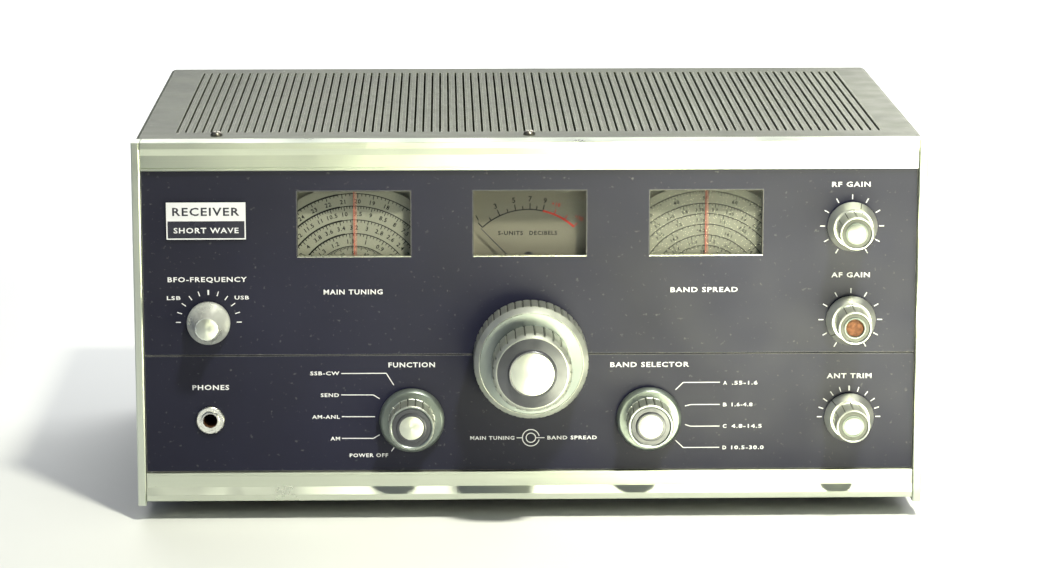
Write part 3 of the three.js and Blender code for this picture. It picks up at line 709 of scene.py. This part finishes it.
# ---- badge -------------------------------------------------------------------------------------
# A thin plate: its upper half is white enamel with dark capitals, its lower half is dark with a
# white border and white capitals.
badge_dark = finish("badge_enamel_dark", (0.02, 0.02, 0.035), 0.3, tone=0.1, tooth=0.05)
badge_white = finish("badge_enamel_white", (0.8, 0.8, 0.82), 0.3, tone=0.05, tooth=0.05)
dress(["badge_plate"], badge_dark, 0.15)
low, high = box_of("badge_plate")
middle = (low.x + high.x) / 2
split = low.z + 8.9
BORDER = 0.6
field = Ink(low.y)
field.sheet(low.x, high.x, split, high.z)
field.bar((low.x, low.z + BORDER / 2), (high.x, low.z + BORDER / 2), BORDER)
for x in (low.x + BORDER / 2, high.x - BORDER / 2):
    field.bar((x, low.z + BORDER), (x, split), BORDER)
field.word("SHORT WAVE", middle, low.z + 4.4, 2.7, 31.0)
placed("badge_white_field", field.done(), "cabinet", [badge_white])
name_word = Ink(low.y - INK)
name_word.word("RECEIVER", middle, split + 4.6, 4.0, 32.0)
placed("badge_capitals", name_word.done(), "cabinet", [badge_dark])


# ---- front frame -------------------------------------------------------------------------------
# Satin anodised extrusions, drawn along their length and lightly pitted with age: a stepped one
# along the top, its mirror image along the bottom, and a flat strip at each side.
satin_rail = finish("satin_anodised_rail", (0.66, 0.70, 0.60), 0.33, metal=1, tone=0.05,
                    patch=14, tooth=0.1, streak=(0, 0.1), speck=(0.35, 0.34, 0.28), spread=0.06)
satin_strip = finish("satin_anodised_strip", (0.66, 0.70, 0.62), 0.34, metal=1, tone=0.06,
                     patch=14, tooth=0.1, streak=(2, 0.1), speck=(0.3, 0.3, 0.26), spread=0.06)
dress(["top_trim", "bottom_trim"], satin_rail, 0.25)
dress(["left_side_trim", "right_side_trim"], satin_strip, 0.35)


# ---- tuning knobs ------------------------------------------------------------------------------
# Two concentric knobs on concentric shafts. The outer one is a wide ring with a knurled grip and a
# polished bevel; the inner one stands well forward, with broad pads and a spun inlay, whose turning
# marks catch the light in two opposite wedges.
def spun(name, colour, rough, strength, rings=2400):
    """A face turned on a lathe: rings round its own Y axis and a highlight across them."""
    made = finish(name, colour, rough, metal=1, tone=0.04, patch=80, tooth=0.05, spread=0.04)
    tree = made.node_tree
    shader = tree.nodes["Principled BSDF"]
    tangent = tree.nodes.new("ShaderNodeTangent")
    tangent.direction_type = "RADIAL"
    tangent.axis = "Y"
    tree.links.new(tangent.outputs[0], shader.inputs["Tangent"])
    shader.inputs["Anisotropic"].default_value = strength
    place = tree.nodes.new("ShaderNodeTexCoord").outputs["Object"]
    flat = tree.nodes.new("ShaderNodeVectorMath")
    flat.operation = "MULTIPLY"
    flat.inputs[1].default_value = (1, 0, 1)
    tree.links.new(place, flat.inputs[0])
    radius = tree.nodes.new("ShaderNodeVectorMath")
    radius.operation = "LENGTH"
    tree.links.new(flat.outputs[0], radius.inputs[0])
    marks = tree.nodes.new("ShaderNodeTexNoise")
    marks.noise_dimensions = "1D"
    marks.inputs["Scale"].default_value = rings
    tree.links.new(radius.outputs["Value"], marks.inputs["W"])
    cuts = tree.nodes.new("ShaderNodeBump")
    cuts.inputs["Strength"].default_value = 0.12
    cuts.inputs["Distance"].default_value = 0.00005
    tree.links.new(marks.outputs["Fac"], cuts.inputs["Height"])
    tree.links.new(cuts.outputs["Normal"], shader.inputs["Normal"])
    return made


grip_metal = finish("grip_aluminium", (0.47, 0.49, 0.45), 0.42, metal=0.85, tone=0.1, patch=120,
                    tooth=0.12, streak=(1, 0.12), speck=(0.2, 0.2, 0.17))
bright_metal = finish("bright_turned_metal", (0.64, 0.66, 0.62), 0.36, metal=0.9, tone=0.05,
                      patch=90, tooth=0.05)
grey_face = finish("grey_anodised_face", (0.24, 0.27, 0.26), 0.34, metal=0.9, tone=0.1, patch=90,
                   tooth=0.08)
plum_face = finish("plum_black_face", (0.075, 0.07, 0.088), 0.4, metal=0.4, tone=0.12, patch=90,
                   tooth=0.06, Specular_IOR_Level=0.3)
dark_ring = finish("dark_ring", (0.075, 0.078, 0.09), 0.36, metal=0.55, tone=0.15, patch=90,
                   tooth=0.06)
# Painted shade on the floors of the flutes and in the sunk ring of each small knob's face; on the
# gain and trimmer knobs it is also the dark pointer line.
groove_shade_and_line = finish("groove_shade_and_line", (0.06, 0.065, 0.06), 0.5, metal=0.3, tone=0.2, patch=150)
spun_bright = spun("spun_inlay", (0.64, 0.67, 0.60), 0.4, 0.6)
# Grey metal, darkened all over as painted shade for the inner knob's shadow and dark reflection.
spun_grey_with_shade = spun("spun_grey_face_with_shade", (0.20, 0.225, 0.225), 0.34, 0.6)

TUNE = (0, 0, face_on("main_tuning_knob")[1])
outer_knob = [(5.4, -18.1, 0, 2), (24.5, -18.1, 0, 3), (24.7, -18.3, 0, 1), (25.0, -18.4, 0, 1),
              (27.0, -15.9, 0, 1), (27.25, -15.5, 0, 0), (27.5, -15.1, 0.75), (27.5, -0.1, 0.75),
              (27.2, 0.5), (26.6, 0.9), (5.4, 0.9)]
placed("main_tuning_grip", turned(outer_knob, flutes=44, share=0.34, ring=True, floor=3),
       "main_tuning", [grip_metal, bright_metal, spun_grey_with_shade, groove_shade_and_line], TUNE,
       ("main_tuning_knob",), crease=24)
inner_knob = [(0, -40.9, 0, 1), (11.0, -40.6, 0, 1), (11.35, -39.75, 0, 2), (11.6, -39.5, 0, 2),
              (16.7, -38.85, 0, 0), (17.1, -38.75, 0, 0), (17.9, -37.9), (18.4, -37.2, 0.2),
              (18.9, -36.5, 0.8), (19.0, -36.1, 0.9), (19.0, -19.9, 0.9), (18.6, -18.9, 0.2),
              (3.2, -18.9), (3.2, -33), (0, -33)]
placed("band_spread_grip", turned(inner_knob, flutes=25, share=0.22, floor=3), "band_spread",
       [grip_metal, plum_face, dark_ring, groove_shade_and_line], TUNE, ("band_spread_knob",),
       crease=24)
inlay = [(0, -41.15), (10.1, -41.15), (10.25, -41.1, 0, 1), (10.4, -41.45, 0, 1),
         (10.9, -41.5, 0, 1), (11.15, -41.3, 0, 1), (11.3, -40.3, 0, 1), (11.2, -40.0), (0, -40.0)]
placed("band_spread_inlay", turned(inlay, 96), "band_spread",
       [spun_bright, dark_ring], TUNE)


# ---- pointer knobs -----------------------------------------------------------------------------
# The function and band selector knobs: a broad grey skirt with a white pointer line, a padded
# grip, a sunk dark ring and a bright inlay in the middle.
POINTER_KNOBS = [("function_knob", "function_control", 208),
                 ("band_selector_knob", "band_control", -13)]
skirt_grey = finish("grey_green_skirt", (0.15, 0.175, 0.165), 0.36, metal=0.7, tone=0.12, patch=90,
                    tooth=0.08, speck=(0.4, 0.4, 0.36))
for node, body, pointing in POINTER_KNOBS:
    shaft_end = box_of(node)[1].y
    profile = [(0, -15.3, 0, 1), (7.2, -15.2, 0, 1), (9.2, -15.1, 0, 1), (9.5, -15.5, 0, 2),
               (9.9, -15.75, 0, 2), (10.4, -15.75), (10.8, -15.4, 0.1), (11.0, -15.0, 0.75),
               (11.0, -2.5, 0.75), (11.3, -2.25, 0, 3), (14.2, -2.2, 0, 3), (14.8, -1.8, 0, 3),
               (15.5, -0.7, 0, 3), (15.7, -0.3, 0, 3), (15.7, 1.2, 0, 3), (15.4, 1.5, 0, 3),
               (3, 1.5), (3, shaft_end), (0, shaft_end)]
    x, z = face_on(node)
    spot = (x, 0, z)
    placed(f"{node}_grip", turned(profile, flutes=18, share=0.24, floor=4), body,
           [grip_metal, dark_ring, grey_face, skirt_grey, groove_shade_and_line], spot, (node,), crease=24)
    boss = [(0, -15.95), (5.6, -15.95), (5.75, -15.9, 0, 1), (5.95, -16.15, 0, 1),
            (6.6, -16.2, 0, 1), (7.05, -16.0, 0, 1), (7.25, -15.2, 0, 1), (0, -15.2)]
    placed(f"{node}_inlay", turned(boss, 72), body, [spun_bright, dark_ring], spot)
    mark = Ink(-2.16)
    mark.tick(centre, 11.6, 14.1, 90 - pointing, 0.7)
    placed(f"{node}_pointer", mark.done(), body, [white_ink], spot)


# ---- gain and trimmer knobs --------------------------------------------------------------------
# Three small aluminium knobs with a conical skirt and twelve broad flats. The AF gain knob has
# lost its inlay, and old brown glue shows in the recess.
GRIP_KNOBS = [("rf_gain_knob", "rf_gain_control", 70), ("af_gain_knob", "af_gain_control", 218),
              ("antenna_trim_knob", "antenna_trim_control", 135)]
SKIRT_SLOPE = math.atan2(3.4, 2.2)
silver = finish("silver_knob", (0.55, 0.57, 0.52), 0.42, metal=0.75, tone=0.06, patch=120,
                tooth=0.08, speck=(0.25, 0.24, 0.2))
old_glue = finish("old_glue", (0.24, 0.10, 0.045), 0.65, tone=0.5, patch=420, grain=1500,
                  tooth=0.8, Specular_IOR_Level=0.1)
spun_small = spun("spun_small_inlay", (0.30, 0.32, 0.30), 0.44, 0.5)
for node, body, pointing in GRIP_KNOBS:
    lost = node == "af_gain_knob"
    if lost:
        recess = [(0, -16.7, 0, 2), (3.2, -16.6, 0, 2), (4.2, -16.5, 0, 3), (4.4, -17.6, 0, 3)]
    else:
        recess = [(0, -17.6, 0, 3), (4.4, -17.6, 0, 3)]
    # The ring in slot 4 on the face is sunk and takes the dark painted shade.
    profile = recess + [
        (4.7, -17.75, 0, 3), (5.1, -17.7, 0, 3), (5.3, -17.2, 0, 4), (6.9, -17.1, 0, 3),
        (7.15, -17.75), (7.5, -18.0), (7.85, -17.85), (8.15, -17.3, 0.3),
        (8.2, -16.9, 0.65), (8.2, -3.9, 0.65), (8.5, -3.65), (9.4, -3.55, 0, 1),
        (9.6, -3.3, 0, 1), (11.75, 0.1, 0, 1), (12.0, 0.6, 0, 1), (12.0, 1.3, 0, 1), (11.8, 1.5),
        (3, 1.5), (3, 16), (0, 16)]
    x, z = face_on(node)
    spot = (x, 0, z)
    placed(f"{node}_grip", turned(profile, flutes=12, share=0.13, floor=4), body,
           [silver, bright_metal, old_glue, skirt_grey, groove_shade_and_line], spot, (node,), crease=20)
    if not lost:
        disc = [(0, -17.95), (4.1, -17.95), (4.35, -17.85), (4.35, -17.5), (0, -17.5)]
        placed(f"{node}_inlay", turned(disc, 64), body, [spun_small], spot)
    line = Ink(0, 0.3)
    line.bar((0, 0), (4.1, 0), 0.42)
    on_skirt = Matrix.Translation((9.75 * MM, -3.05 * MM, 0)) @ Matrix.Rotation(SKIRT_SLOPE, 4, "Z")
    aimed = Matrix.Rotation(-math.radians(pointing), 4, "Y") @ on_skirt
    placed(f"{node}_pointer", line.done(), body, [groove_shade_and_line], spot, turn=aimed)


# ---- BFO knob ----------------------------------------------------------------------------------
# A polished trumpet-shaped knob, turned from solid, with a spun end face. It has no pointer line,
# and the index marks on the panel fan out over it.
cone = [(0, -14.3, 0, 1), (5.1, -14.3), (5.4, -14.15), (5.5, -13.8), (5.75, -12.4),
        (6.05, -10.4), (6.5, -8.2), (7.15, -6.2), (8.0, -4.4), (9.0, -2.8), (9.9, -1.7),
        (10.25, -1.1), (10.4, -0.6), (10.4, 1.2), (10.2, 1.5), (3, 1.5), (3, 16), (0, 16)]
mirror_metal = finish("polished_cone", (0.82, 0.84, 0.80), 0.3, metal=0.6, tone=0.04, patch=60,
                      tooth=0.03, spread=0.05)
x, z = face_on("bfo_knob")
placed("bfo_knob_cone", turned(cone, 112), "bfo_control",
       [mirror_metal, spun_bright], (x, 0, z), ("bfo_knob",), crease=30)


# ---- headphone jack ----------------------------------------------------------------------------
# A nickelled quarter-inch jack: threaded sleeve and round nut in front, black body behind. The nut
# clamps it to the lower panel.
nickel = finish("nickel_plate", (0.70, 0.70, 0.66), 0.26, metal=1, tone=0.1, patch=200,
                speck=(0.25, 0.23, 0.2))
thread = [(4.6 - 0.18 * (i % 2), 0.75 + 0.2 * i) for i in range(4)]
jack = [(3.25, 24, 0, 1), (3.25, 1.0), (3.5, 0.62), (4.3, 0.62), *thread, (4.7, 1.35),
        (6.3, 1.3), (6.8, 1.7), (6.9, 2.0), (6.9, 2.6), (4.6, 2.6), (4.6, 7.4, 0, 1),
        (8.5, 7.4, 0, 1), (8.5, 27, 0, 1), (0, 27, 0, 1), (0, 24, 0, 1)]
x, z = face_on("phones_jack")
placed("phones_jack_socket", turned(jack, 72, ring=True), "cabinet",
       [nickel, bakelite], (x, 0, z), ("phones_jack",))


# ---- cabinet cover -----------------------------------------------------------------------------
# One steel sheet folded over the top and both sides, in grey-green hammered paint gone patchy.
# Its long vents are lanced, so each has a low raised lip along its right side.
cover_paint = finish("hammered_cover", (0.058, 0.064, 0.042), 0.44, metal=0.2, tone=0.22, patch=26,
                     grain=1500, tooth=0.3, speck=(0.4, 0.4, 0.33), worn=(0.4, 0.42, 0.34),
                     spread=0.07, Specular_IOR_Level=0.35)
dress(["top_cover"], cover_paint, 0.15)
cover_top = box_of("top_cover")[1].z
VENTS, VENT_PITCH, VENT_WIDTH = 84, 4.1, 1.1
VENT_FRONT, VENT_BACK = 32.0, 238.0
LIP_SECTION = [(0.02, -0.5), (0.02, 0.3), (0.3, 0.42), (0.75, 0.3), (1.3, 0.02), (1.3, -0.5)]
lips = bmesh.new()
for i in range(VENTS):
    x = (i - (VENTS - 1) / 2) * VENT_PITCH + VENT_WIDTH / 2
    ends = []
    for y, drop in ((VENT_FRONT, 0.32), (VENT_FRONT + 2, 0), (VENT_BACK - 2, 0), (VENT_BACK, 0.32)):
        ends.append([lips.verts.new(((x + across) * MM, y * MM,
                                     (cover_top + up - (drop if up > 0 else 0)) * MM))
                     for across, up in LIP_SECTION])
    for a, b in zip(ends, ends[1:]):
        for k in range(len(LIP_SECTION)):
            m = (k + 1) % len(LIP_SECTION)
            lips.faces.new((a[k], a[m], b[m], b[k]))
    lips.faces.new(ends[0])
    lips.faces.new(ends[-1])
bmesh.ops.recalc_face_normals(lips, faces=lips.faces)
placed("cover_vent_lips", lips, "cabinet", [cover_paint], crease=50)


# ---- cover screws ------------------------------------------------------------------------------
# Round-headed steel screws with a cross slot, through the cover's front margin. Each head is
# turned, and then its slots are cut.
screw_steel = finish("blackened_screw", (0.16, 0.15, 0.13), 0.35, metal=0.9, tone=0.3, patch=400,
                     worn=(0.5, 0.5, 0.45))


def carved(made, boxes):
    """A bmesh with boxes, given as (low, high) corners in millimetres, cut out of it."""
    body_mesh = bpy.data.meshes.new("carved")
    made.to_mesh(body_mesh)
    made.free()
    body = bpy.data.objects.new("carved", body_mesh)
    scene.collection.objects.link(body)
    tools = []
    for low, high in boxes:
        tool = bmesh.new()
        bmesh.ops.create_cube(tool, size=1)
        for vert in tool.verts:
            vert.co = Vector([(low[k] if vert.co[k] < 0 else high[k]) * MM for k in range(3)])
        tool_mesh = bpy.data.meshes.new("cutter")
        tool.to_mesh(tool_mesh)
        tool.free()
        cutter = bpy.data.objects.new("cutter", tool_mesh)
        scene.collection.objects.link(cutter)
        tools.append(cutter)
        cut = body.modifiers.new("cut", "BOOLEAN")
        cut.operation = "DIFFERENCE"
        cut.solver = "EXACT"
        cut.object = cutter
    bpy.context.view_layer.update()
    result = bmesh.new()
    result.from_object(body, bpy.context.evaluated_depsgraph_get())
    for thing in [body, *tools]:
        bpy.data.objects.remove(thing)
    return result


for node in ("cover_screw_left", "cover_screw_centre"):
    head = turned([(0, 2.4), (0.9, 2.32), (1.7, 2.05), (2.35, 1.6), (2.75, 1.0), (2.9, 0.4),
                   (2.85, 0.05), (1.6, 0.05), (1.6, -7), (0, -7)], 40)
    cross = [((-2.2, 1.5, -0.34), (2.2, 4, 0.34)), ((-0.34, 1.5, -2.2), (0.34, 4, 2.2))]
    foot = underside(node)[0]
    placed(f"{node}_head", carved(head, cross), "cabinet", [screw_steel],
           (foot[0], foot[1], cover_top), (node,), turn=UPRIGHT)


# ---- base and feet -----------------------------------------------------------------------------
# The slotted base plate is painted like the cover, and the four feet are turned rubber with a
# recess for their screws.
foot_rubber = finish("foot_rubber", (0.02, 0.02, 0.02), 0.75, tone=0.3, patch=120, tooth=0.4,
                     speck=(0.1, 0.1, 0.1))
dress(["bottom_plate"], cover_paint, 0.15)
for row in ("front", "rear"):
    for side in ("left", "right"):
        node = f"foot_{row}_{side}"
        middle, _, tall = underside(node)
        profile = [(0, 2.4, 0, 1), (2.6, 2.4), (3.2, 2.1), (3.2, 0.5), (3.6, 0), (7.9, 0),
                   (8.5, 0.3), (8.9, 0.9), (9.6, tall * 0.55), (9.95, tall - 0.7),
                   (9.8, tall - 0.2), (9.4, tall), (0, tall)]
        placed(f"{node}_rubber", turned(profile, 56), "cabinet",
               [foot_rubber, screw_steel], middle, (node,), turn=UPRIGHT)


# ---- rear --------------------------------------------------------------------------------------
# A slotted steel panel closes the back, held by six screws. It carries two screw-terminal strips,
# the fuse holder and the grommet for the mains lead, with a small white legend over each.
REAR_FACE = box_of("rear_panel")[1].y
dress(["rear_panel"], cover_paint, 0.15)
rubber = finish("grommet_rubber", (0.025, 0.025, 0.025), 0.6, tone=0.3, patch=150, tooth=0.25)
fuse_black = finish("fuse_phenolic", (0.018, 0.018, 0.02), 0.3, tone=0.2, patch=150, tooth=0.08)
brass = finish("terminal_brass", (0.52, 0.40, 0.20), 0.3, metal=1, tone=0.2, patch=260, tooth=0.12,
               speck=(0.2, 0.13, 0.06))


def behind(stations):
    """Stations whose distances are counted backwards from the rear panel's face."""
    return [(radius, REAR_FACE + along, *more) for radius, along, *more in stations]


def slots(wide, half, low, high, cross=False):
    """The cutters for a screw's slot, or its cross, between two distances behind the panel."""
    cuts = [((-wide, REAR_FACE + low, -half), (wide, REAR_FACE + high, half))]
    if cross:
        cuts.append(((-half, REAR_FACE + low, -wide), (half, REAR_FACE + high, wide)))
    return cuts


for side, x in (("left", -181), ("right", 181)):
    for row, z in (("low", 11), ("middle", 62), ("high", 168)):
        head = turned(behind([(0, -0.6), (1.5, -0.6), (1.5, -0.02), (3.1, -0.02), (3.2, 0.2),
                              (2.9, 1.1), (2.1, 1.8), (1.1, 2.15), (0, 2.2)]), 36)
        placed(f"rear_screw_{side}_{row}", carved(head, slots(1.9, 0.3, 1.2, 4, cross=True)),
               "cabinet", [screw_steel], (x, 0, z))

TERMINAL_PITCH = 14
CORNER = 3.5
for node, count in (("antenna_terminals", 4), ("speaker_terminals", 3)):
    low, high = box_of(node)
    middle, level = face_on(node)
    reach = (high.x - low.x) / 2 - CORNER
    rise = (high.z - low.z) / 2 - CORNER
    board = Ink(REAR_FACE + 3.1, 3.0)
    outline = []
    for sx, sz, start in ((1, -1, 180), (1, 1, 90), (-1, 1, 0), (-1, -1, -90)):
        for step in range(6):
            corner = (middle + sx * reach, level + sz * rise)
            outline.append(Ink.polar(corner, CORNER, math.radians(start - 18 * step)))
    board.prism(outline)
    placed(f"{node}_board", board.done(), "cabinet", [bakelite],
           replaces=(node,))
    for i in range(count):
        post = turned(behind([(0, -9), (0.9, -8.8), (1.2, -8), (1.2, 3), (4.6, 3.05), (4.7, 3.4),
                              (4.5, 3.8), (3.4, 3.85), (3.6, 4.1), (3.6, 6.3), (3.3, 7.1),
                              (2.5, 7.7), (0, 8)]), 40)
        x = middle + (i - (count - 1) / 2) * TERMINAL_PITCH
        placed(f"{node}_screw_{i + 1}", carved(post, slots(4, 0.5, 6.7, 9)), "cabinet",
               [brass], (x, 0, level))

ring = behind([(4.0, -3.4), (6.6, -3.4), (7.4, -3.0), (7.6, -2.4), (7.3, -1.7), (6.1, -1.6),
               (6.1, 0.05), (8.0, 0.15), (8.35, 0.8), (8.1, 1.8), (7.2, 2.5), (5.7, 2.8),
               (4.3, 2.5), (3.7, 1.8), (3.6, -1), (3.7, -3)])
x, z = face_on("mains_grommet")
placed("mains_grommet_ring", turned(ring, 56, ring=True), "cabinet", [rubber],
       (x, 0, z), ("mains_grommet",))
holder = turned(behind([(0, -27), (6, -27), (7, -25), (7, 0.1), (8.4, 0.15), (8.6, 0.5), (8.5, 2.3),
                        (8.0, 2.8), (6.4, 3.1), (6.2, 3.5), (6.1, 3.8, 0.5), (5.7, 6.5, 0.5),
                        (5.3, 7.2), (0, 7.4)]), flutes=16, share=0.4)
x, z = face_on("fuse_holder")
placed("fuse_holder_cap", carved(holder, slots(4, 0.6, 6.5, 9)), "cabinet",
       [fuse_black], (x, 0, z), ("fuse_holder",))

facing_back = Matrix.Rotation(math.pi, 4, "Z")
rear_print = Ink(-REAR_FACE)
for text, node in (("ANTENNA", "antenna_terminals"), ("SPEAKER", "speaker_terminals"),
                   ("FUSE", "fuse_holder"), ("MAINS", "mains_grommet")):
    rear_print.word(text, -face_on(node)[0], 51, 2.4)
for node, texts in (("antenna_terminals", ("A1", "A2", "E", "E")),
                    ("speaker_terminals", ("8", "0", "600"))):
    for i, text in enumerate(texts):
        across = (i - (len(texts) - 1) / 2) * TERMINAL_PITCH
        rear_print.word(text, across - face_on(node)[0], 22.5, 1.9)
placed("rear_panel_legends", rear_print.done(), "cabinet", [white_ink],
       turn=facing_back)
